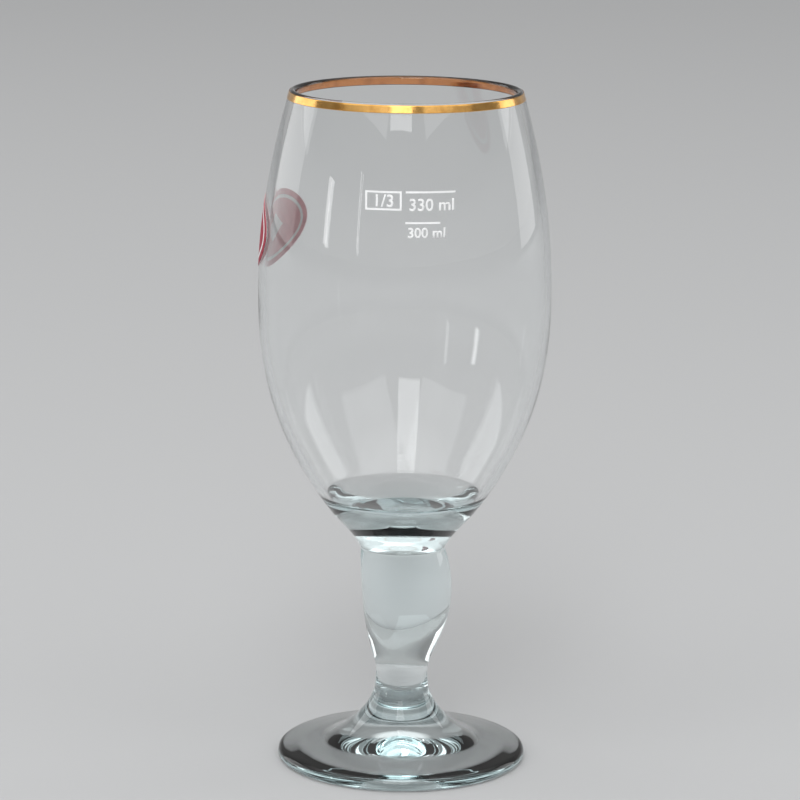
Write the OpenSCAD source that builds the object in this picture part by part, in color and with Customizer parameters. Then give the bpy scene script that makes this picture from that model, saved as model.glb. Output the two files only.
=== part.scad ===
// Chalice beer glass: a tulip bowl on a short knopped stem and a round foot,
// with a gilt band at the rim, a fired capacity scale and a fired oval badge.
// Origin at the centre of the resting face, +Z up, capacity scale towards -Y, badge towards -X.

/* [Bowl] */
// Height of the bowl above the stem
bowl_h = 125.5; // [100:0.5:150]
// Outer diameter at the widest level
belly_d = 79.1; // [72:0.1:90]
// Height of the widest level above the stem
belly_h = 70; // [60:0.5:80]
// Outer diameter at the rim
rim_d = 62.6; // [56:0.1:70]
// Wall thickness at the widest level
wall_t = 1.8; // [1.6:0.1:3]
// Wall thickness at the rim
rim_t = 1.9; // [1.4:0.1:2.6]
// Outer diameter where the collar runs into the bowl
shoulder_d = 39.6; // [34:0.1:46]
// Height of that level above the stem
shoulder_h = 10.5; // [8:0.1:14]
// Height of the floor's edge above the level where the collar runs into the bowl
floor_edge_h = 4; // [2:0.1:8]
// Wall thickness at the floor's edge
heel_t = 2; // [1.8:0.1:4]
// Depth of the floor's centre below its edge
floor_dip = 1.6; // [1:0.1:6]

/* [Stem] */
// Height of the stem between foot and bowl
stem_h = 44.5; // [36:0.5:60]
// Diameter where the stem carries the bowl
stem_top_d = 22.9; // [18:0.1:28]
// Diameter of the knop at its widest
knop_d = 24.7; // [23:0.1:34]
// Depth of the knop's widest level below the bowl
knop_depth = 10.4; // [7:0.1:14]
// Sideways lean of the knop, to the right of the capacity scale
knop_shift = 1.25; // [0:0.05:3]
// Depth of the knop's furthest lean below the bowl
lean_depth = 13.6; // [9:0.1:18]
// Diameter of the neck
neck_d = 14.2; // [10:0.1:18]
// Height of the neck above the foot
neck_h = 9.2; // [7:0.1:14]
// Diameter where the stem stands on the foot
stem_base_d = 18.8; // [18:0.1:26]

/* [Foot] */
// Diameter of the foot
foot_d = 68; // [60:0.1:80]
// Height of the foot at its centre
foot_h = 15; // [12:0.1:20]
// Diameter where the foot's plate runs up into its boss
plate_d = 44.6; // [36:0.1:50]
// Height of the plate there
plate_h = 5.1; // [4.6:0.1:7]
// Height of the foot's edge
edge_h = 3.5; // [2.4:0.1:4.2]
// Width of the rounding at the edge
edge_w = 1.7; // [1:0.1:2.4]
// Outer diameter of the resting ring
rest_d = 63.6; // [56:0.1:64]
// Inner diameter of the resting ring
hollow_d = 54; // [46:0.1:55]
// Rise of the hollow under the foot
hollow_h = 5; // [1:0.1:5.5]

/* [Decoration] */
// Thickness of the fired gilding and enamel
print_t = 0.1; // [0.05:0.01:0.3]
// Width of the gilt band
band_w = 2; // [1:0.1:5]
// Bare glass between the gilt band and the rim's crest
band_gap = 0.4; // [0.2:0.1:1]
// Depth of the fill line below the rim's crest
fill_depth = 21.9; // [14:0.1:30]
// Length of the fill line, seen from the front
fill_w = 12.8; // [8:0.1:16]
// Thickness of the printed lines
line_w = 0.5; // [0.3:0.05:1]
// Distance from the fill line down to the lower graduation
scale_step = 7.8; // [6:0.1:10]
// Length of the lower graduation, seen from the front
lower_w = 9; // [6:0.1:12]
// Width of the printed frame
frame_w = 9.4; // [6:0.1:11]
// Height of the printed frame
frame_h = 4.9; // [3:0.1:6]
// Gap between the printed frame and the fill line
frame_gap = 1; // [0.6:0.1:3]
// Width of the badge, seen square on
badge_w = 39; // [24:0.5:44]
// Height of the badge
badge_h = 21; // [14:0.5:30]
// Height of the badge's centre above the stem
badge_z = 87; // [76:0.5:94]
// Angle from the side of the glass back to the badge's centre
badge_turn = 12.5; // [-20:0.5:40]
// Bare red margin round the badge's ring
badge_margin = 1.6; // [1:0.1:2.4]
// Width of the badge's ring
ring_w = 1; // [0.5:0.1:1.6]
// Width of the lozenge in the badge
lozenge_w = 15; // [8:0.1:18]
// Height of the lozenge in the badge
lozenge_h = 8; // [4:0.1:9]

/* [Hidden] */

// Radii of the levels
belly_r = belly_d / 2;
rim_r = rim_d / 2;
shoulder_r = shoulder_d / 2;
stem_top_r = stem_top_d / 2;
knop_r = knop_d / 2;
neck_r = neck_d / 2;
stem_base_r = stem_base_d / 2;
foot_r = foot_d / 2;
plate_r = plate_d / 2;
rest_r = rest_d / 2;
hollow_r = hollow_d / 2;
lip_r = rim_t / 2;

// Heights of the levels above the table
bowl_z = foot_h + stem_h;
glass_h = bowl_z + bowl_h;
belly_z = bowl_z + belly_h;
shoulder_z = bowl_z + shoulder_h;
knop_z = bowl_z - knop_depth;
lean_z = bowl_z - lean_depth;
neck_z = foot_h + neck_h;
fill_z = glass_h - fill_depth;
lower_z = fill_z - scale_step;

// Outward run of the outline for each unit of height, at its joints
rim_lean_share = 0.29;
shoulder_lean_share = 0.78;
collar_lean_share = 0.5;
stem_top_lean_share = 0.21;
stem_base_lean_share = 0.6;
boss_lean_share = 0.6;

// How far each curve follows its end tangents, as a share of its height
rim_pull_share = 0.46;
belly_up_pull_share = 0.22;
belly_down_pull_share = 0.27;
shoulder_up_pull_share = 0.38;
shoulder_down_pull_share = 0.3;
collar_pull_share = 0.45;
floor_pull_share = 0.35;
floor_width_share = 0.55;
knop_up_pull_share = 0.27;
knop_down_pull_share = 0.55;
stem_top_pull_share = 0.3;
neck_up_pull_share = 0.24;
neck_down_pull_share = 0.45;
stem_base_pull_share = 0.35;
boss_pull_share = 0.34;
plate_pull_share = 0.3;
edge_top_pull_share = 0.6;
edge_side_pull_share = 0.55;
edge_widest_share = 0.45;
hollow_rim_pull_share = 0.5;
hollow_rim_rise_share = 0.3;
hollow_top_pull_share = 0.25;

// Steps along each curve, and round the stem
curve_steps = 20;
lip_steps = 12;
stem_steps = 16;
stem_sides = 60;
oval_steps = 72;
smooth = 120;

// A cut runs past what it cuts by this much
overrun = 5;

// Point at share t along a curve with two end points and two handles
function curve_point(p, t) =
    pow(1 - t, 3) * p[0] + 3 * pow(1 - t, 2) * t * p[1] + 3 * (1 - t) * pow(t, 2) * p[2] + pow(t, 3) * p[3];

function curve(p, steps = curve_steps) = [for (i = [0:steps]) curve_point(p, i / steps)];

// A list without its first point, to follow another list that ends there
function after_first(p) = [for (i = [1:len(p) - 1]) p[i]];

function unit(v) = v / norm(v);

// Direction of the same curve at share t
function curve_run(p, t) =
    unit(pow(1 - t, 2) * (p[1] - p[0]) + 2 * (1 - t) * t * (p[2] - p[1]) + pow(t, 2) * (p[3] - p[2]));

// Points moved sideways by t, to the right of the direction of travel
function moved(p, t) = [
    for (i = [0:len(p) - 1])
        let (d = unit(p[min(i + 1, len(p) - 1)] - p[max(i - 1, 0)]))
        p[i] + t * [d[1], -d[0]]
];

// The lip is a half round across the end of the leaning wall
lip_turn = atan(rim_lean_share);
lip_out = [rim_r, glass_h - lip_r + lip_r * sin(lip_turn)];
lip_centre = lip_out - lip_r * [cos(lip_turn), sin(lip_turn)];
lip_in = lip_centre - lip_r * [cos(lip_turn), sin(lip_turn)];
function lip_point(share) = lip_centre + lip_r * [cos(lip_turn + 180 * share), sin(lip_turn + 180 * share)];
lip_curve = [for (i = [0:lip_steps]) lip_point(i / lip_steps)];

// Outside of the bowl, from the stem up to the lip
up = [0, 1];
collar_curve = curve([
    [stem_top_r, bowl_z],
    [stem_top_r, bowl_z] + collar_pull_share * shoulder_h * [collar_lean_share, 1],
    [shoulder_r, shoulder_z] - shoulder_down_pull_share * shoulder_h * [shoulder_lean_share, 1],
    [shoulder_r, shoulder_z]
]);
lower_rise = belly_z - shoulder_z;
lower_points = [
    [shoulder_r, shoulder_z],
    [shoulder_r, shoulder_z] + shoulder_up_pull_share * lower_rise * [shoulder_lean_share, 1],
    [belly_r, belly_z] - belly_down_pull_share * lower_rise * up,
    [belly_r, belly_z]
];
lower_curve = curve(lower_points);
upper_rise = lip_out[1] - belly_z;
upper_curve = curve([
    [belly_r, belly_z],
    [belly_r, belly_z] + belly_up_pull_share * upper_rise * up,
    lip_out + rim_pull_share * upper_rise * [rim_lean_share, -1],
    lip_out
]);
bowl_outside = concat(collar_curve, after_first(lower_curve), after_first(upper_curve));

// Inside of the bowl, from the lip down to the belly
inside_belly = [belly_r - wall_t, belly_z];
inside_upper_rise = lip_in[1] - belly_z;
inside_upper_curve = curve([
    lip_in,
    lip_in + rim_pull_share * inside_upper_rise * [rim_lean_share, -1],
    inside_belly + belly_up_pull_share * inside_upper_rise * up,
    inside_belly
]);

// Below the belly the inside follows the outside, and the wall thickens evenly to the floor's edge
edge_share = lookup(
    shoulder_z + floor_edge_h,
    [for (i = [0:curve_steps]) [lower_curve[i][1], i / curve_steps]]
);
function wall_thickness(t) = heel_t + (wall_t - heel_t) * (t - edge_share) / (1 - edge_share);
function wall_point(t) =
    let (run = curve_run(lower_points, t))
    curve_point(lower_points, t) + wall_thickness(t) * [-run[1], run[0]];
inside_lower_curve = [for (i = [0:curve_steps]) wall_point(1 - (1 - edge_share) * i / curve_steps)];

// The floor starts along the wall and levels out
heel = wall_point(edge_share);
heel_run = curve_run(lower_points, edge_share);
floor_z = heel[1] - floor_dip;
floor_curve = curve([
    heel,
    heel - floor_pull_share * floor_dip * heel_run / heel_run[1],
    [heel[0] * floor_width_share, floor_z],
    [0, floor_z]
]);
bowl_inside = concat(inside_upper_curve, after_first(inside_lower_curve), after_first(floor_curve));

module bowl() {
    color("azure", 0.35)
        rotate_extrude($fn = smooth)
            polygon(concat([[0, bowl_z]], bowl_outside, after_first(lip_curve), after_first(bowl_inside)));
}

// Outline of the stem as radius and height, from the bowl down to the foot
knop_upper_curve = curve([
    [stem_top_r, bowl_z],
    [stem_top_r, bowl_z] + stem_top_pull_share * knop_depth * [stem_top_lean_share, -1],
    [knop_r, knop_z] + knop_up_pull_share * knop_depth * up,
    [knop_r, knop_z]
], stem_steps);
knop_drop = knop_z - neck_z;
knop_lower_curve = curve([
    [knop_r, knop_z],
    [knop_r, knop_z] - knop_down_pull_share * knop_drop * up,
    [neck_r, neck_z] + neck_up_pull_share * knop_drop * up,
    [neck_r, neck_z]
], stem_steps);
neck_curve = curve([
    [neck_r, neck_z],
    [neck_r, neck_z] - neck_down_pull_share * neck_h * up,
    [stem_base_r, foot_h] + stem_base_pull_share * neck_h * [-stem_base_lean_share, 1],
    [stem_base_r, foot_h]
], stem_steps);
stem_outline = concat(knop_upper_curve, after_first(knop_lower_curve), after_first(neck_curve));

// Sideways place of the stem's centre: a quarter wave down to the furthest lean, then a half wave back
function stem_shift(z) =
    z > lean_z
        ? knop_shift * sin(90 * (bowl_z - z) / lean_depth)
        : z > neck_z ? knop_shift * (1 + cos(180 * (lean_z - z) / (lean_z - neck_z))) / 2 : 0;

// The stem is a loft through round sections whose centres follow the lean
module stem() {
    rings = len(stem_outline);
    points = [
        for (p = stem_outline, j = [0:stem_sides - 1])
            let (a = 360 * j / stem_sides)
            [stem_shift(p[1]) + p[0] * cos(a), p[0] * sin(a), p[1]]
    ];
    sides = [
        for (i = [0:rings - 2], j = [0:stem_sides - 1])
            let (k = (j + 1) % stem_sides)
            [i * stem_sides + j, i * stem_sides + k, (i + 1) * stem_sides + k, (i + 1) * stem_sides + j]
    ];
    top = [for (j = [stem_sides - 1:-1:0]) j];
    bottom = [for (j = [0:stem_sides - 1]) (rings - 1) * stem_sides + j];
    color("azure", 0.35)
        polyhedron(points, concat([top], sides, [bottom]));
}

// Outline of the foot, from the stem out over the plate, round the edge and under to the centre
plate_end = [foot_r - edge_w, edge_h];
plate_run = (plate_end - [plate_r, plate_h]) / (plate_r - plate_end[0]);
boss_drop = foot_h - plate_h;
boss_curve = curve([
    [stem_base_r, foot_h],
    [stem_base_r, foot_h] + boss_pull_share * boss_drop * [boss_lean_share, -1],
    [plate_r, plate_h] + plate_pull_share * (plate_r - stem_base_r) * plate_run,
    [plate_r, plate_h]
]);
edge_widest = [foot_r, edge_widest_share * edge_h];
edge_top_curve = curve([
    plate_end,
    plate_end - edge_top_pull_share * edge_w * plate_run,
    edge_widest + edge_side_pull_share * (edge_h - edge_widest[1]) * up,
    edge_widest
]);
edge_bottom_curve = curve([
    edge_widest,
    edge_widest - edge_side_pull_share * edge_widest[1] * up,
    [rest_r + edge_top_pull_share * (foot_r - rest_r), 0],
    [rest_r, 0]
]);
hollow_curve = curve([
    [hollow_r, 0],
    [hollow_r - hollow_rim_pull_share * hollow_r, hollow_rim_rise_share * hollow_h],
    [hollow_top_pull_share * hollow_r, hollow_h],
    [0, hollow_h]
]);

module foot() {
    color("azure", 0.35)
        rotate_extrude($fn = smooth)
            polygon(concat(
                [[0, foot_h]], boss_curve, edge_top_curve, after_first(edge_bottom_curve), hollow_curve
            ));
}

// Thin coat on the outside of the bowl between two heights, on the bowl's own outline
coat_line = concat(bowl_outside, after_first(lip_curve));
coat_top = moved(coat_line, print_t);
module coat(low, high) {
    first = max([for (i = [0:len(coat_line) - 1]) if (coat_line[i][1] <= low) i]);
    last = min([for (i = [0:len(coat_line) - 1]) if (coat_line[i][1] >= high) i]);
    rotate_extrude($fn = smooth)
        polygon(concat(
            [for (i = [first:last]) coat_line[i]],
            [for (i = [last:-1:first]) coat_top[i]]
        ));
}

module rim_band() {
    top = glass_h - band_gap;
    color("goldenrod")
        intersection() {
            coat(top - band_w, top);
            translate([0, 0, top - band_w])
                cylinder(h = band_w, r = belly_r, $fn = smooth);
        }
}

// What a flat shape in the plane of width and height covers on the front of the bowl
module printed_on_front(low, high) {
    intersection() {
        coat(low, high);
        rotate([90, 0, 0])
            linear_extrude(height = belly_r + overrun)
                children();
    }
}

module fill_line() {
    color("white")
        printed_on_front(fill_z - line_w, fill_z)
            translate([0, fill_z - line_w])
                square([fill_w, line_w]);
}

module lower_line() {
    color("white")
        printed_on_front(lower_z - line_w, lower_z)
            translate([0, lower_z - line_w])
                square([lower_w, line_w]);
}

module scale_frame() {
    right = -frame_gap;
    low = fill_z - frame_h;
    color("white")
        printed_on_front(low, fill_z)
            difference() {
                translate([right - frame_w, low])
                    square([frame_w, frame_h]);
                translate([right - frame_w + line_w, low + line_w])
                    square([frame_w - 2 * line_w, frame_h - 2 * line_w]);
            }
}

// What a flat shape covers on the side of the bowl, round the badge's centre
badge_height = bowl_z + badge_z;
module printed_on_side() {
    low = badge_height - badge_h / 2;
    high = badge_height + badge_h / 2;
    intersection() {
        coat(low, high);
        rotate([90, 0, -90 - badge_turn])
            linear_extrude(height = belly_r + overrun)
                translate([0, badge_height])
                    children();
    }
}

module oval(width, height) {
    polygon([for (i = [0:oval_steps - 1]) let (a = 360 * i / oval_steps) [width * cos(a), height * sin(a)] / 2]);
}

module lozenge() {
    polygon([[lozenge_w / 2, 0], [0, lozenge_h / 2], [-lozenge_w / 2, 0], [0, -lozenge_h / 2]]);
}

module ring() {
    outer = [badge_w, badge_h] - 2 * badge_margin * [1, 1];
    inner = outer - 2 * ring_w * [1, 1];
    difference() {
        oval(outer[0], outer[1]);
        oval(inner[0], inner[1]);
    }
}

module badge_field() {
    color("crimson")
        printed_on_side()
            difference() {
                oval(badge_w, badge_h);
                ring();
                lozenge();
            }
}

module badge_ring() {
    color("white")
        printed_on_side()
            ring();
}

module badge_lozenge() {
    color("white")
        printed_on_side()
            lozenge();
}

bowl();
stem();
foot();
rim_band();
fill_line();
lower_line();
scale_frame();
badge_field();
badge_ring();
badge_lozenge();
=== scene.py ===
"""Looks of the chalice beer glass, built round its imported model. Metres, +Z up, scale towards -Y."""
import math

import bmesh
import bpy
import numpy as np
from mathutils import Matrix, Vector

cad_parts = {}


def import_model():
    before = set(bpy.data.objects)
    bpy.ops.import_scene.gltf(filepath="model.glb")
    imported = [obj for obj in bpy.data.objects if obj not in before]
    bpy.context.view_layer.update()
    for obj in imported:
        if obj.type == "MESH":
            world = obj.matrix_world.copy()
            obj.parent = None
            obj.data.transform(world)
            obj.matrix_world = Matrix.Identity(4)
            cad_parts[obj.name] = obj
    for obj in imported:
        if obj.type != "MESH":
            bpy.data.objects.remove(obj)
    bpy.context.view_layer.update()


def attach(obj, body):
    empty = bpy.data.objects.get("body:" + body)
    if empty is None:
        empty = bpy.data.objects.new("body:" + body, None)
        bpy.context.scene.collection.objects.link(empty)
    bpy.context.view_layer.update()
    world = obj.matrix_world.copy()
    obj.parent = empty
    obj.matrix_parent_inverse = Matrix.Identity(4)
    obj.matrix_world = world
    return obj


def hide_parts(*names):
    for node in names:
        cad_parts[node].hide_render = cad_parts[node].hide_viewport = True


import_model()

# A millimetre, in Blender's metres
MM = 0.001

# Sizes of the part, in millimetres and degrees, as its own source gives them
FOOT_H, STEM_H, BOWL_H = 15.0, 44.5, 125.5
BELLY_R, BELLY_H = 39.55, 70.0
RIM_R, RIM_T, WALL_T = 31.3, 1.9, 1.8
SHOULDER_R, SHOULDER_H = 19.8, 10.5
FLOOR_EDGE_H, HEEL_T, FLOOR_DIP = 4.0, 2.0, 1.6
STEM_TOP_R, KNOP_R, KNOP_DEPTH = 11.45, 12.35, 10.4
KNOP_SHIFT, LEAN_DEPTH = 1.25, 13.6
NECK_R, NECK_H, STEM_BASE_R = 7.1, 9.2, 9.4
FOOT_R, PLATE_R, PLATE_H = 34.0, 22.3, 5.1
EDGE_H, EDGE_W, REST_R = 3.5, 1.7, 31.8
HOLLOW_R, HOLLOW_H = 27.0, 5.0
PRINT_T, LINE_W = 0.1, 0.5
BAND_W, BAND_GAP = 2.0, 0.4
FILL_DEPTH, FILL_W = 21.9, 12.8
SCALE_STEP, LOWER_W = 7.8, 9.0
FRAME_W, FRAME_H, FRAME_GAP = 9.4, 4.9, 1.0
BADGE_W, BADGE_H, BADGE_Z, BADGE_TURN = 39.0, 21.0, 87.0, 12.5
BADGE_MARGIN, RING_W = 1.6, 1.0
LOZENGE_W, LOZENGE_H = 15.0, 8.0

# Heights above the table
BOWL_Z = FOOT_H + STEM_H
GLASS_H = BOWL_Z + BOWL_H
BELLY_Z = BOWL_Z + BELLY_H
SHOULDER_Z = BOWL_Z + SHOULDER_H
KNOP_Z = BOWL_Z - KNOP_DEPTH
LEAN_Z = BOWL_Z - LEAN_DEPTH
NECK_Z = FOOT_H + NECK_H
FILL_Z = GLASS_H - FILL_DEPTH
LOWER_Z = FILL_Z - SCALE_STEP
BADGE_CENTRE_Z = BOWL_Z + BADGE_Z

# Outward run for each unit of height where two curves meet
RIM_LEAN, SHOULDER_LEAN, COLLAR_LEAN = 0.29, 0.78, 0.5
STEM_TOP_LEAN, STEM_BASE_LEAN, BOSS_LEAN = 0.21, 0.6, 0.6

# How far each curve follows its end directions, as a share of its own height or width
RIM_PULL, BELLY_UP_PULL, BELLY_DOWN_PULL = 0.46, 0.22, 0.27
SHOULDER_UP_PULL, SHOULDER_DOWN_PULL, COLLAR_PULL = 0.38, 0.3, 0.45
FLOOR_PULL, FLOOR_WIDTH = 0.35, 0.55
STEM_TOP_PULL, KNOP_UP_PULL, KNOP_DOWN_PULL = 0.3, 0.27, 0.55
NECK_UP_PULL, NECK_DOWN_PULL, STEM_BASE_PULL = 0.24, 0.45, 0.35
BOSS_PULL, PLATE_PULL = 0.34, 0.3
EDGE_TOP_PULL, EDGE_SIDE_PULL, EDGE_WIDEST = 0.6, 0.55, 0.45
HOLLOW_RIM_PULL, HOLLOW_RIM_RISE, HOLLOW_TOP_PULL = 0.5, 0.3, 0.25

# Steps along each curve, and round the glass
BOSS_STEPS, PLATE_STEPS, EDGE_STEPS, REST_STEPS, HOLLOW_STEPS = 36, 12, 12, 4, 28
STEM_TOP_STEPS, STEM_STEPS, NECK_STEPS = 24, 36, 24
COLLAR_STEPS, BOWL_STEPS, LIP_STEPS = 24, 40, 20
WALL_STEPS, FLOOR_STEPS, BAND_STEPS, OVAL_STEPS = 60, 28, 14, 96
SIDES = 180
# Steps on which the floor's edge is looked up, as many as in the part's source
LOOKUP_STEPS = 20
# Height over and under a point from which the bowl's slope there is worked out
SLOPE_STEP = 0.2

# Ripples of the bowl's inner wall: size in millimetres, waves round the glass, share of the drift
RIPPLES = ((0.016, 2, 1.0), (0.008, 5, -1.7), (0.004, 9, 2.3))
RIPPLE_DRIFT = 0.11
# Rings without ripples below the lip and at the floor's centre, and rings over which the ripples grow
CALM_START, CALM_END, RIPPLE_GROWTH = 4, 12, 12.0

# Prints, in millimetres: depth into the glass, width of their mesh's squares, and welding distance
PRINT_DEPTH, PRINT_GRID, WELD = 0.03, 0.8, 1e-4

# Figures below each line: letter height, added weight, inset from the line's left end, drop from its top
FILL_FIGURES = (4.3, 0.07, 0.8, 4.9)
LOWER_FIGURES = (3.6, 0.08, 0.5, 4.0)
# Fraction in the frame: letter height, added weight, height over the frame's lower edge
FRACTION_FIGURES = (4.4, 0.07, 0.95)
# Steps along each curve of a letter
LETTER_STEPS = 6


# Outline curves, as points of radius and height in millimetres

def point(radius, height):
    return np.array((radius, height), float)


UP = point(0, 1)


def curve_points(corners, shares):
    """Points at shares along a curve with two end points and two handles."""
    start, first, second, end = corners
    t = shares[:, None]
    back = 1 - t
    return back ** 3 * start + 3 * back ** 2 * t * first + 3 * back * t ** 2 * second + t ** 3 * end


def curve_runs(corners, shares):
    """Directions of the same curve at shares."""
    start, first, second, end = corners
    t = shares[:, None]
    back = 1 - t
    run = back ** 2 * (first - start) + 2 * back * t * (second - first) + t ** 2 * (end - second)
    return run / np.linalg.norm(run, axis=1)[:, None]


def curve(corners, steps):
    return curve_points(np.array(corners), np.linspace(0, 1, steps + 1))


def straight(start, end, steps):
    return start + np.linspace(0, 1, steps + 1)[:, None] * (end - start)


def joined(*runs):
    """Runs of points that follow each other, without the doubled points."""
    return np.vstack([runs[0]] + [run[1:] for run in runs[1:]])


def foot_outline():
    """From the centre of the hollow out under the foot, round its edge and up to the stem."""
    boss_top = point(STEM_BASE_R, FOOT_H)
    plate_start = point(PLATE_R, PLATE_H)
    plate_end = point(FOOT_R - EDGE_W, EDGE_H)
    plate_run = (plate_end - plate_start) / (PLATE_R - plate_end[0])
    boss = curve([
        boss_top,
        boss_top + BOSS_PULL * (FOOT_H - PLATE_H) * point(BOSS_LEAN, -1),
        plate_start + PLATE_PULL * (PLATE_R - STEM_BASE_R) * plate_run,
        plate_start,
    ], BOSS_STEPS)
    plate = straight(plate_start, plate_end, PLATE_STEPS)
    widest = point(FOOT_R, EDGE_WIDEST * EDGE_H)
    edge_top = curve([
        plate_end,
        plate_end - EDGE_TOP_PULL * EDGE_W * plate_run,
        widest + EDGE_SIDE_PULL * (EDGE_H - widest[1]) * UP,
        widest,
    ], EDGE_STEPS)
    rest_start = point(REST_R, 0)
    edge_low = curve([
        widest,
        widest - EDGE_SIDE_PULL * widest[1] * UP,
        rest_start + EDGE_TOP_PULL * point(FOOT_R - REST_R, 0),
        rest_start,
    ], EDGE_STEPS)
    rest = straight(rest_start, point(HOLLOW_R, 0), REST_STEPS)
    hollow = curve([
        point(HOLLOW_R, 0),
        point(HOLLOW_RIM_PULL * HOLLOW_R, HOLLOW_RIM_RISE * HOLLOW_H),
        point(HOLLOW_TOP_PULL * HOLLOW_R, HOLLOW_H),
        point(0, HOLLOW_H),
    ], HOLLOW_STEPS)
    return joined(boss, plate, edge_top, edge_low, rest, hollow)[::-1]


def stem_outline():
    """From the foot up to the bowl."""
    top = point(STEM_TOP_R, BOWL_Z)
    knop = point(KNOP_R, KNOP_Z)
    neck = point(NECK_R, NECK_Z)
    base = point(STEM_BASE_R, FOOT_H)
    above_knop = curve([
        top,
        top + STEM_TOP_PULL * KNOP_DEPTH * point(STEM_TOP_LEAN, -1),
        knop + KNOP_UP_PULL * KNOP_DEPTH * UP,
        knop,
    ], STEM_TOP_STEPS)
    drop = KNOP_Z - NECK_Z
    below_knop = curve([
        knop,
        knop - KNOP_DOWN_PULL * drop * UP,
        neck + NECK_UP_PULL * drop * UP,
        neck,
    ], STEM_STEPS)
    below_neck = curve([
        neck,
        neck - NECK_DOWN_PULL * NECK_H * UP,
        base + STEM_BASE_PULL * NECK_H * point(-STEM_BASE_LEAN, 1),
        base,
    ], NECK_STEPS)
    return joined(above_knop, below_knop, below_neck)[::-1]


# The lip is a half round across the end of the leaning wall
LIP_R = RIM_T / 2
LIP_TURN = math.atan(RIM_LEAN)
LIP_OUT = point(RIM_R, GLASS_H - LIP_R + LIP_R * math.sin(LIP_TURN))
LIP_CENTRE = LIP_OUT - LIP_R * point(math.cos(LIP_TURN), math.sin(LIP_TURN))


def lip_outline():
    """From the outside over the lip to the inside."""
    angles = LIP_TURN + np.linspace(0, math.pi, LIP_STEPS + 1)
    return LIP_CENTRE + LIP_R * np.stack([np.cos(angles), np.sin(angles)], 1)


SHOULDER, BELLY = point(SHOULDER_R, SHOULDER_Z), point(BELLY_R, BELLY_Z)
LOWER_RISE = BELLY_Z - SHOULDER_Z
LOWER_WALL = np.array([
    SHOULDER,
    SHOULDER + SHOULDER_UP_PULL * LOWER_RISE * point(SHOULDER_LEAN, 1),
    BELLY - BELLY_DOWN_PULL * LOWER_RISE * UP,
    BELLY,
])


def upper_wall(belly, rim):
    """Corners of the closing wall between the belly and the rim, outside or inside."""
    rise = rim[1] - belly[1]
    return [
        belly,
        belly + BELLY_UP_PULL * rise * UP,
        rim + RIM_PULL * rise * point(RIM_LEAN, -1),
        rim,
    ]


def bowl_outside():
    """From the stem up to the lip."""
    stem_top = point(STEM_TOP_R, BOWL_Z)
    collar = curve([
        stem_top,
        stem_top + COLLAR_PULL * SHOULDER_H * point(COLLAR_LEAN, 1),
        SHOULDER - SHOULDER_DOWN_PULL * SHOULDER_H * point(SHOULDER_LEAN, 1),
        SHOULDER,
    ], COLLAR_STEPS)
    lower = curve(LOWER_WALL, BOWL_STEPS)
    upper = curve(upper_wall(BELLY, LIP_OUT), BOWL_STEPS)
    return joined(collar, lower, upper)


def bowl_inside():
    """From the lip down to the centre of the floor. Below the belly the wall thickens evenly."""
    upper = curve(upper_wall(BELLY - point(WALL_T, 0), lip_outline()[-1])[::-1], BOWL_STEPS)
    lookup = np.linspace(0, 1, LOOKUP_STEPS + 1)
    edge = np.interp(SHOULDER_Z + FLOOR_EDGE_H, curve(LOWER_WALL, LOOKUP_STEPS)[:, 1], lookup)
    shares = np.linspace(1, edge, WALL_STEPS + 1)
    runs = curve_runs(LOWER_WALL, shares)
    inward = np.stack([-runs[:, 1], runs[:, 0]], 1)
    thickness = HEEL_T + (WALL_T - HEEL_T) * (shares - edge) / (1 - edge)
    lower = curve_points(LOWER_WALL, shares) + thickness[:, None] * inward
    heel, heel_run = lower[-1], runs[-1]
    floor_z = heel[1] - FLOOR_DIP
    bottom = curve([
        heel,
        heel - FLOOR_PULL * FLOOR_DIP * heel_run / heel_run[1],
        point(FLOOR_WIDTH * heel[0], floor_z),
        point(0, floor_z),
    ], FLOOR_STEPS)
    return joined(upper, lower, bottom)


def stem_shift(z):
    """Sideways place of the stem's centre at a height."""
    if z >= BOWL_Z or z <= NECK_Z:
        return 0.0
    if z > LEAN_Z:
        return KNOP_SHIFT * math.sin(math.pi / 2 * (BOWL_Z - z) / LEAN_DEPTH)
    return KNOP_SHIFT * (1 + math.cos(math.pi * (LEAN_Z - z) / (LEAN_Z - NECK_Z))) / 2


# The bowl's outside up to the crest of the lip
OUTSIDE = joined(bowl_outside(), lip_outline()[:LIP_STEPS // 2 + 1])


def outside_radius(z):
    return float(np.interp(z, OUTSIDE[:, 1], OUTSIDE[:, 0]))


def on_bowl(sideways, z, lift, turn=0.0):
    """Point over the bowl's outside. sideways is seen square on, turn goes from -Y towards -X."""
    r = outside_radius(z)
    slope = (outside_radius(z + SLOPE_STEP) - outside_radius(z - SLOPE_STEP)) / (2 * SLOPE_STEP)
    normal = Vector((1, 0, -slope)).normalized()
    angle = math.asin(max(-1.0, min(1.0, sideways / r))) - math.radians(90 + turn)
    r, z = r + lift * normal.x, z + lift * normal.z
    return Vector((r * math.cos(angle), r * math.sin(angle), z)) * MM


# Meshes

def add_object(name, mesh, *materials):
    obj = bpy.data.objects.new(name, mesh)
    bpy.context.scene.collection.objects.link(obj)
    for material in materials:
        mesh.materials.append(material)
    return obj


def second_material_inside(mesh):
    """Gives the faces that look towards the glass's axis the second material."""
    for face in mesh.polygons:
        if face.normal.x * face.center.x + face.normal.y * face.center.y < 0:
            face.material_index = 1


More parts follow.
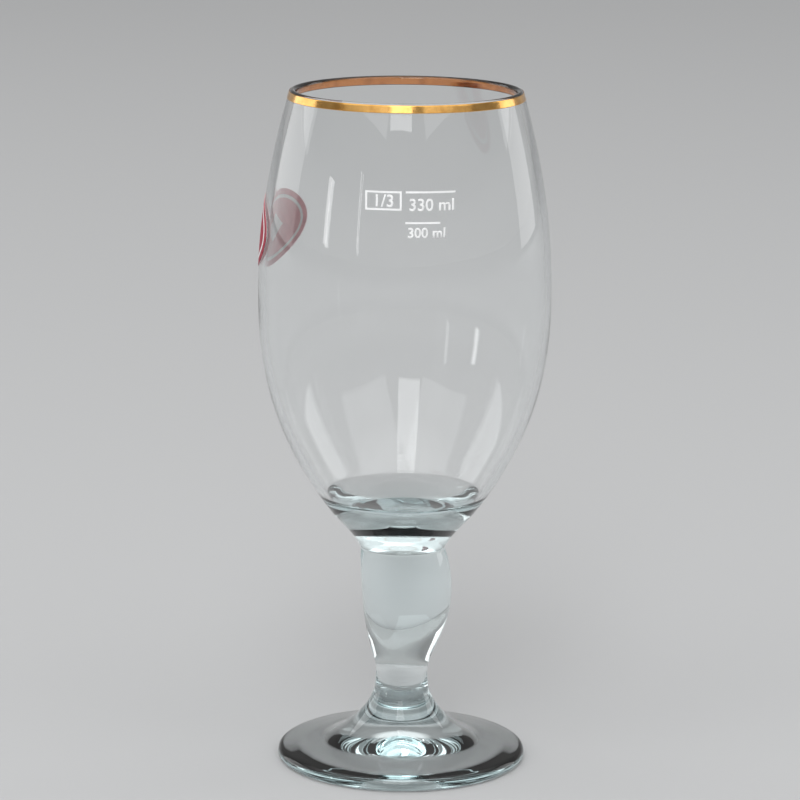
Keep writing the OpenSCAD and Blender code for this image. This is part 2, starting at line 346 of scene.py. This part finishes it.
def lathe(name, outline, closed, shift=lambda z: 0.0, ripple=lambda ring, angle: 0.0):
    """A mesh of revolution through points of radius and height, with a pole where the radius is zero."""
    verts, rings = [], []
    for i, (r, z) in enumerate(outline):
        if r == 0:
            rings.append([len(verts)])
            verts.append((shift(z) * MM, 0, z * MM))
            continue
        rings.append(list(range(len(verts), len(verts) + SIDES)))
        for j in range(SIDES):
            angle = 2 * math.pi * j / SIDES
            reach = r + ripple(i, angle)
            x, y = shift(z) + reach * math.cos(angle), reach * math.sin(angle)
            verts.append((x * MM, y * MM, z * MM))
    following = rings[1:] + rings[:1] if closed else rings[1:]
    faces = []
    for low, high in zip(rings, following):
        for j in range(SIDES):
            k = (j + 1) % SIDES
            if len(low) == 1:
                faces.append((low[0], high[k], high[j]))
            elif len(high) == 1:
                faces.append((low[j], low[k], high[0]))
            else:
                faces.append((low[j], low[k], high[k], high[j]))
    mesh = bpy.data.meshes.new(name)
    mesh.from_pydata(verts, [], faces)
    mesh.shade_smooth()
    mesh.update()
    return mesh


def to_mesh(data):
    """The filled mesh of a curve or of letters."""
    obj = bpy.data.objects.new("flat", data)
    bpy.context.scene.collection.objects.link(obj)
    mesh = bpy.data.meshes.new_from_object(obj.evaluated_get(bpy.context.evaluated_depsgraph_get()))
    bpy.data.objects.remove(obj)
    return mesh


def flat_mesh(*loops):
    """A filled flat mesh of closed outlines in millimetres; an outline inside another is a hole."""
    data = bpy.data.curves.new("outline", "CURVE")
    data.dimensions = "2D"
    data.fill_mode = "BOTH"
    for loop in loops:
        spline = data.splines.new("POLY")
        spline.points.add(len(loop) - 1)
        for corner, (x, y) in zip(spline.points, loop):
            corner.co = (x, y, 0, 1)
        spline.use_cyclic_u = True
    return to_mesh(data)


def text_mesh(words, size, weight, x, y, align="LEFT"):
    """Flat letters in millimetres, with x and y where their line starts, or its middle."""
    data = bpy.data.curves.new("words", "FONT")
    data.body = words
    data.size = size
    data.align_x = align
    data.offset = weight
    data.resolution_u = LETTER_STEPS
    mesh = to_mesh(data)
    mesh.transform(Matrix.Translation((x, y, 0)))
    return mesh


def cut_in_squares(flat):
    """Cuts a flat mesh along a grid, so that it can follow the bowl."""
    xs = [vert.co.x for vert in flat.verts]
    ys = [vert.co.y for vert in flat.verts]
    for axis, low, high in ((0, min(xs), max(xs)), (1, min(ys), max(ys))):
        for at in np.arange(low + PRINT_GRID, high, PRINT_GRID):
            origin, normal = [0, 0, 0], [0, 0, 0]
            origin[axis], normal[axis] = at, 1
            geom = flat.verts[:] + flat.edges[:] + flat.faces[:]
            bmesh.ops.bisect_plane(flat, geom=geom, plane_co=origin, plane_no=normal)


def printed(name, meshes, place, materials, node=None):
    """Wraps flat meshes over the bowl as one thin fired coat. place says where a flat point goes."""
    coat = bmesh.new()
    for flat in meshes:
        coat.from_mesh(flat)
    bmesh.ops.remove_doubles(coat, verts=coat.verts, dist=WELD)
    cut_in_squares(coat)
    top = coat.faces[:]
    for face in top:
        if face.normal.z < 0:
            face.normal_flip()
    made = bmesh.ops.extrude_face_region(coat, geom=top)
    raised = {item for item in made["geom"] if isinstance(item, bmesh.types.BMVert)}
    for vert in coat.verts:
        vert.co = place(vert.co.x, vert.co.y, PRINT_T if vert in raised else -PRINT_DEPTH)
    bmesh.ops.recalc_face_normals(coat, faces=coat.faces)
    mesh = bpy.data.meshes.new(name)
    coat.to_mesh(mesh)
    coat.free()
    obj = add_object(name, mesh, *materials)
    if len(materials) > 1:
        second_material_inside(mesh)
    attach(obj, "root")
    if node:
        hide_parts(node)


# Materials

def new_material(name):
    material = bpy.data.materials.new(name)
    material.use_nodes = True
    tree = material.node_tree
    return material, tree.nodes, tree.links, tree.nodes["Principled BSDF"]


def noise(nodes, links, scale, detail, stretch=(1, 1, 1)):
    coords = nodes.new("ShaderNodeTexCoord")
    mapping = nodes.new("ShaderNodeMapping")
    mapping.inputs["Scale"].default_value = stretch
    texture = nodes.new("ShaderNodeTexNoise")
    texture.inputs["Scale"].default_value = scale
    texture.inputs["Detail"].default_value = detail
    links.new(coords.outputs["Object"], mapping.inputs["Vector"])
    links.new(mapping.outputs["Vector"], texture.inputs["Vector"])
    return texture.outputs["Fac"]


def spread(nodes, links, value, between, onto):
    """Maps a value from one range to another, held at both ends."""
    mapper = nodes.new("ShaderNodeMapRange")
    mapper.inputs["From Min"].default_value = between[0]
    mapper.inputs["From Max"].default_value = between[1]
    mapper.inputs["To Min"].default_value = onto[0]
    mapper.inputs["To Max"].default_value = onto[1]
    links.new(value, mapper.inputs["Value"])
    return mapper.outputs["Result"]


def two_tones(nodes, links, share, tones):
    """Blends from the first colour to the second."""
    mix = nodes.new("ShaderNodeMix")
    mix.data_type = "RGBA"
    mix.inputs["A"].default_value = (*tones[0], 1)
    mix.inputs["B"].default_value = (*tones[1], 1)
    links.new(share, mix.inputs["Factor"])
    return mix.outputs["Result"]


# A noise's scale counts for each metre. Its range is where it starts and stops to act.
GLASS_BEND, GLASS_TINT, TINT_DENSITY = 1.517, (0.50, 0.83, 0.86), 11.0
SMUDGE_SCALE, SMUDGE_DETAIL, SMUDGE_STRETCH = 28, 6, (1, 1, 0.45)
SMUDGE_RANGE, SMUDGE_ROUGH = (0.52, 0.78), (0.0, 0.07)


def clear_glass():
    """Clear glass with faint smudges and a blue-green tint where it is thick."""
    material, nodes, links, shader = new_material("clear_glass")
    shader.inputs["Base Color"].default_value = (1, 1, 1, 1)
    shader.inputs["Transmission Weight"].default_value = 1.0
    shader.inputs["IOR"].default_value = GLASS_BEND
    smudge = noise(nodes, links, SMUDGE_SCALE, SMUDGE_DETAIL, SMUDGE_STRETCH)
    links.new(spread(nodes, links, smudge, SMUDGE_RANGE, SMUDGE_ROUGH), shader.inputs["Roughness"])
    absorb = nodes.new("ShaderNodeVolumeAbsorption")
    absorb.inputs["Color"].default_value = (*GLASS_TINT, 1)
    absorb.inputs["Density"].default_value = TINT_DENSITY
    links.new(absorb.outputs["Volume"], nodes["Material Output"].inputs["Volume"])
    return material


WEAR_SCALE, WEAR_DETAIL, WEAR_RANGE = 260, 4, (0.45, 0.75)
RUB_SCALE, RUB_DETAIL, RUB_RANGE, RUB_ROUGH = 900, 3, (0.3, 0.7), (0.08, 0.20)


def gilding(name, tones):
    """Bright fired gold, slightly rubbed."""
    material, nodes, links, shader = new_material(name)
    shader.inputs["Metallic"].default_value = 1.0
    worn = spread(nodes, links, noise(nodes, links, WEAR_SCALE, WEAR_DETAIL), WEAR_RANGE, (0, 1))
    links.new(two_tones(nodes, links, worn, tones), shader.inputs["Base Color"])
    rubbed = spread(nodes, links, noise(nodes, links, RUB_SCALE, RUB_DETAIL), RUB_RANGE, RUB_ROUGH)
    links.new(rubbed, shader.inputs["Roughness"])
    return material


MOTTLE_SCALE, MOTTLE_DETAIL, MOTTLE_RANGE = 420, 4, (0.35, 0.75)
GRAIN_SCALE, GRAIN_DETAIL, GRAIN_RANGE = 1500, 3, (0.3, 0.7)
BUMP_SCALE, BUMP_DETAIL, BUMP_STRENGTH, BUMP_HEIGHT = 2600, 2, 0.12, 0.00005


def enamel(name, tones, rough, gloss):
    """Fired enamel print, half gloss, with an uneven tone and a fine grain."""
    material, nodes, links, shader = new_material(name)
    shader.inputs["Specular IOR Level"].default_value = gloss
    mottle = spread(nodes, links, noise(nodes, links, MOTTLE_SCALE, MOTTLE_DETAIL), MOTTLE_RANGE, (0, 1))
    links.new(two_tones(nodes, links, mottle, tones), shader.inputs["Base Color"])
    grain = spread(nodes, links, noise(nodes, links, GRAIN_SCALE, GRAIN_DETAIL), GRAIN_RANGE, rough)
    links.new(grain, shader.inputs["Roughness"])
    bump = nodes.new("ShaderNodeBump")
    bump.inputs["Strength"].default_value = BUMP_STRENGTH
    bump.inputs["Distance"].default_value = BUMP_HEIGHT
    links.new(noise(nodes, links, BUMP_SCALE, BUMP_DETAIL), bump.inputs["Height"])
    links.new(bump.outputs["Normal"], shader.inputs["Normal"])
    return material


GOLD_TONES = (0.88, 0.50, 0.155), (0.68, 0.34, 0.085)
# Darker, redder copy of the gold for the band's faces towards the axis: painted shade
GOLD_PAINTED_SHADE_TONES = (0.74, 0.31, 0.12), (0.54, 0.20, 0.075)
WHITE_TONES = (0.93, 0.94, 0.94), (0.86, 0.87, 0.87)
RED_TONES = (0.42, 0.012, 0.045), (0.30, 0.008, 0.03)
# Lighter pink copy of the red enamel for the badge's faces towards the axis: painted light
RED_PAINTED_LIGHT_TONES = (0.80, 0.38, 0.41), (0.70, 0.28, 0.31)

GLASS = clear_glass()
GOLD = gilding("gilding", GOLD_TONES)
GOLD_PAINTED_SHADE = gilding("gilding_painted_shade", GOLD_PAINTED_SHADE_TONES)
WHITE = enamel("white_enamel", WHITE_TONES, rough=(0.28, 0.42), gloss=0.5)
RED = enamel("red_enamel", RED_TONES, rough=(0.42, 0.56), gloss=0.2)
RED_PAINTED_LIGHT = enamel("red_enamel_painted_light", RED_PAINTED_LIGHT_TONES, rough=(0.3, 0.45), gloss=0.5)


# Pieces

def glass_body():
    """Bowl, stem and foot as the one fused body of glass that they are, with no seam plane inside."""
    outside = joined(foot_outline(), stem_outline(), bowl_outside(), lip_outline())
    outline = joined(outside, bowl_inside())
    first = len(outside) + CALM_START
    last = len(outline) - CALM_END

    def ripple(ring, angle):
        """Unevenness of the bowl's inner wall, which grows from nothing below the lip."""
        if ring < first or ring > last:
            return 0.0
        growth = min(1.0, (ring - first) / RIPPLE_GROWTH)
        turn = ring * RIPPLE_DRIFT
        sizes = [size * math.sin(waves * angle + drift * turn) for size, waves, drift in RIPPLES]
        return growth * sum(sizes)

    mesh = lathe("glass_body", outline, closed=False, shift=stem_shift, ripple=ripple)
    obj = add_object("glass_body", mesh, GLASS)
    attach(obj, "root")
    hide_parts("bowl", "stem", "foot")


def gilt_band():
    """The gold band below the lip: plain gold outside, and on the faces towards the axis a darker,
    redder copy of the gold, painted shade for where it is seen through the glass.
    """
    top = GLASS_H - BAND_GAP
    heights = np.linspace(top - BAND_W, top, BAND_STEPS + 1)
    line = np.stack([np.interp(heights, OUTSIDE[:, 1], OUTSIDE[:, 0]), heights], 1)
    runs = np.gradient(line, axis=0)
    runs /= np.linalg.norm(runs, axis=1)[:, None]
    outward = np.stack([runs[:, 1], -runs[:, 0]], 1)
    outer, inner = line + PRINT_T * outward, line - PRINT_DEPTH * outward
    mesh = lathe("gilt_band", np.vstack([outer, inner[::-1]]), closed=True)
    # Faces towards the axis take the darker gold copy, painted shade
    obj = add_object("gilt_band", mesh, GOLD, GOLD_PAINTED_SHADE)
    second_material_inside(mesh)
    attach(obj, "root")
    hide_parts("rim_band")


def box_loop(x0, y0, x1, y1):
    return [(x0, y0), (x1, y0), (x1, y1), (x0, y1)]


def oval_loop(width, height):
    angles = [2 * math.pi * i / OVAL_STEPS for i in range(OVAL_STEPS)]
    return [(width / 2 * math.cos(a), height / 2 * math.sin(a)) for a in angles]


def front(x, y, lift):
    """A flat point of the scale, on the front of the bowl."""
    return on_bowl(x, y, lift)


def side(x, y, lift):
    """A flat point of the badge, on the side of the bowl."""
    return on_bowl(x, BADGE_CENTRE_Z + y, lift, 90 + BADGE_TURN)


def capacity_scale():
    """The two lines, the frame beside the upper one, and their figures."""
    fill = flat_mesh(box_loop(0, FILL_Z - LINE_W, FILL_W, FILL_Z))
    printed("fill_mark", [fill], front, [WHITE], "fill_line")
    lower = flat_mesh(box_loop(0, LOWER_Z - LINE_W, LOWER_W, LOWER_Z))
    printed("lower_mark", [lower], front, [WHITE], "lower_line")
    left, low = -FRAME_GAP - FRAME_W, FILL_Z - FRAME_H
    border = flat_mesh(
        box_loop(left, low, left + FRAME_W, FILL_Z),
        box_loop(left + LINE_W, low + LINE_W, left + FRAME_W - LINE_W, FILL_Z - LINE_W))
    printed("frame_mark", [border], front, [WHITE], "scale_frame")
    words = []
    size, weight, start, drop = FILL_FIGURES
    words.append(text_mesh("330 ml", size, weight, start, FILL_Z - drop))
    size, weight, rise = FRACTION_FIGURES
    words.append(text_mesh("1/3", size, weight, left + FRAME_W / 2, low + rise, "CENTER"))
    size, weight, start, drop = LOWER_FIGURES
    words.append(text_mesh("300 ml", size, weight, start, LOWER_Z - drop))
    printed("scale_figures", words, front, [WHITE])


def badge():
    """The red oval on the side, with its white ring and lozenge."""
    ring_inset = 2 * BADGE_MARGIN
    field_inset = 2 * (BADGE_MARGIN + RING_W)
    outer = oval_loop(BADGE_W, BADGE_H)
    ring_out = oval_loop(BADGE_W - ring_inset, BADGE_H - ring_inset)
    ring_in = oval_loop(BADGE_W - field_inset, BADGE_H - field_inset)
    lozenge = [(LOZENGE_W / 2, 0), (0, LOZENGE_H / 2), (-LOZENGE_W / 2, 0), (0, -LOZENGE_H / 2)]
    field = [flat_mesh(outer, ring_out), flat_mesh(ring_in, lozenge)]
    # The badge's red faces towards the axis take the lighter pink enamel copy, painted light
    printed("badge_red", field, side, [RED, RED_PAINTED_LIGHT], "badge_field")
    printed("badge_oval", [flat_mesh(ring_out, ring_in)], side, [WHITE], "badge_ring")
    printed("badge_diamond", [flat_mesh(lozenge)], side, [WHITE], "badge_lozenge")


# Floor, lights and camera, in metres and degrees

# The floor lies just below the foot, so that their faces aren't in one plane
FLOOR_HALF, FLOOR_Z = 9.0, -0.0001
FLOOR_COLOUR, FLOOR_ROUGH, FLOOR_GLOSS = (0.50, 0.505, 0.51), 0.9, 0.1


def floor():
    mesh = bpy.data.meshes.new("floor")
    corners = box_loop(-FLOOR_HALF, -FLOOR_HALF, FLOOR_HALF, FLOOR_HALF)
    mesh.from_pydata([(x, y, FLOOR_Z) for x, y in corners], [], [(0, 1, 2, 3)])
    material, nodes, links, shader = new_material("floor")
    shader.inputs["Base Color"].default_value = (*FLOOR_COLOUR, 1)
    shader.inputs["Roughness"].default_value = FLOOR_ROUGH
    shader.inputs["Specular IOR Level"].default_value = FLOOR_GLOSS
    add_object("floor", mesh, material)


# Lamps face the glass's axis at this height. Directions go from -Y towards -X, rises go up from level.
LAMP_AIM_H = 0.1
LAMP_DISTANCE = 2.1

# Key lamps: name, direction, width, brightness
KEYS = (("key_middle", 5, 0.6, 2.2), ("key_left", 43, 1.5, 0.72), ("key_right", -43, 1.5, 0.72))
KEY_RISE, KEY_DISTANCE, KEY_H = 44, 1.7, 1.25
# Each is made of nested strips with these shares of its width, so that it fades towards its edges
KEY_SHARES = (0.3, 0.55, 0.8, 1.0)
# Share of the height that stays as the strips narrow
KEY_H_LEAST = 0.6

# Side panels: name, direction, width, brightness. Each has a high part and a low part, its foot.
PANELS = (("left_panel", 118, 1.4, 1.3), ("right_panel", -115, 0.9, 1.4))
PANEL_RISE, PANEL_H = 22, 0.88
PANEL_FOOT_RISE, PANEL_FOOT_H = 4.2, 0.45

# Narrow lamps: name, direction, rise, width, height, brightness
SLITS = (("left_slit", 66, 7, 0.11, 0.38, 5.0), ("front_slit", 38, 9, 0.03, 0.5, 4.0))


def strip(name, direction, rise, distance, width, height, brightness, through=True):
    """A soft lamp that faces the glass. With through off, rays that pass through the glass miss it."""
    data = bpy.data.lights.new(name, "AREA")
    data.shape = "RECTANGLE"
    data.size, data.size_y = width, height
    data.energy = brightness * math.pi * width * height
    obj = bpy.data.objects.new(name, data)
    around, above = math.radians(direction), math.radians(rise)
    level = math.cos(above)
    out = Vector((-math.sin(around) * level, -math.cos(around) * level, math.sin(above)))
    obj.location = Vector((0, 0, LAMP_AIM_H)) + out * distance
    obj.rotation_mode = "QUATERNION"
    obj.rotation_quaternion = out.to_track_quat("Z", "Y")
    obj.visible_camera = False
    obj.visible_transmission = through
    bpy.context.scene.collection.objects.link(obj)


def lamps():
    """Soft studio light. Seen straight through the glass, a panel's low part would be a white area."""
    for share in KEY_SHARES:
        height = KEY_H * (KEY_H_LEAST + (1 - KEY_H_LEAST) * share)
        for name, direction, width, brightness in KEYS:
            strip(name, direction, KEY_RISE, KEY_DISTANCE, width * share, height, brightness)
    for name, direction, width, brightness in PANELS:
        strip(name, direction, PANEL_RISE, LAMP_DISTANCE, width, PANEL_H, brightness)
        strip(name + "_foot", direction, PANEL_FOOT_RISE, LAMP_DISTANCE, width, PANEL_FOOT_H, brightness,
              through=False)
    for name, direction, rise, width, height, brightness in SLITS:
        strip(name, direction, rise, LAMP_DISTANCE, width, height, brightness)


# Greys of the studio around: 0 is level and below, 1 is straight up
STUDIO_GREYS = ((0.0, 0.42), (0.10, 0.42), (0.20, 0.26), (0.60, 0.30), (0.76, 0.95), (1.0, 1.02))


def world():
    studio = bpy.data.worlds.new("studio")
    studio.use_nodes = True
    nodes, links = studio.node_tree.nodes, studio.node_tree.links
    coords = nodes.new("ShaderNodeTexCoord")
    split = nodes.new("ShaderNodeSeparateXYZ")
    ramp = nodes.new("ShaderNodeValToRGB")
    stops = ramp.color_ramp.elements
    stops[0].position = STUDIO_GREYS[0][0]
    stops[1].position = STUDIO_GREYS[-1][0]
    for at, _ in STUDIO_GREYS[1:-1]:
        stops.new(at)
    for stop, (_, grey) in zip(stops, STUDIO_GREYS):
        stop.color = (grey, grey, grey, 1)
    links.new(coords.outputs["Generated"], split.inputs["Vector"])
    links.new(split.outputs["Z"], ramp.inputs["Fac"])
    links.new(ramp.outputs["Color"], nodes["Background"].inputs["Color"])
    bpy.context.scene.world = studio


# The camera stands where the photograph's did, as fitted to the glass's outline
CAMERA_BACK, CAMERA_UP = 0.94033, 0.30143
CAMERA_PITCH, CAMERA_ROLL, CAMERA_PAN = 12.069, 0.4769, -0.0646
FOCAL_PIXELS, FRAME_PIXELS, SENSOR_MM = 3545.1, 800, 36.0
NEAREST, FURTHEST = 0.05, 20


def camera():
    pitch, roll, pan = (math.radians(x) for x in (CAMERA_PITCH, CAMERA_ROLL, CAMERA_PAN))
    turn = Matrix.Rotation(-pan, 3, "Z")
    level = turn @ Vector((1, 0, 0))
    upright = turn @ Vector((0, math.sin(pitch), math.cos(pitch)))
    back = turn @ Vector((0, -math.cos(pitch), math.sin(pitch)))
    right = math.cos(roll) * level + math.sin(roll) * upright
    up = math.cos(roll) * upright - math.sin(roll) * level
    data = bpy.data.cameras.new("camera")
    data.sensor_width = SENSOR_MM
    data.lens = FOCAL_PIXELS * SENSOR_MM / FRAME_PIXELS
    data.clip_start, data.clip_end = NEAREST, FURTHEST
    obj = bpy.data.objects.new("camera", data)
    attitude = Matrix((right, up, back)).transposed().to_4x4()
    obj.matrix_world = Matrix.Translation((0, -CAMERA_BACK, CAMERA_UP)) @ attitude
    bpy.context.scene.collection.objects.link(obj)
    bpy.context.scene.camera = obj


glass_body()
gilt_band()
capacity_scale()
badge()
floor()
lamps()
world()
camera()
bpy.context.scene.view_settings.view_transform = "Standard"
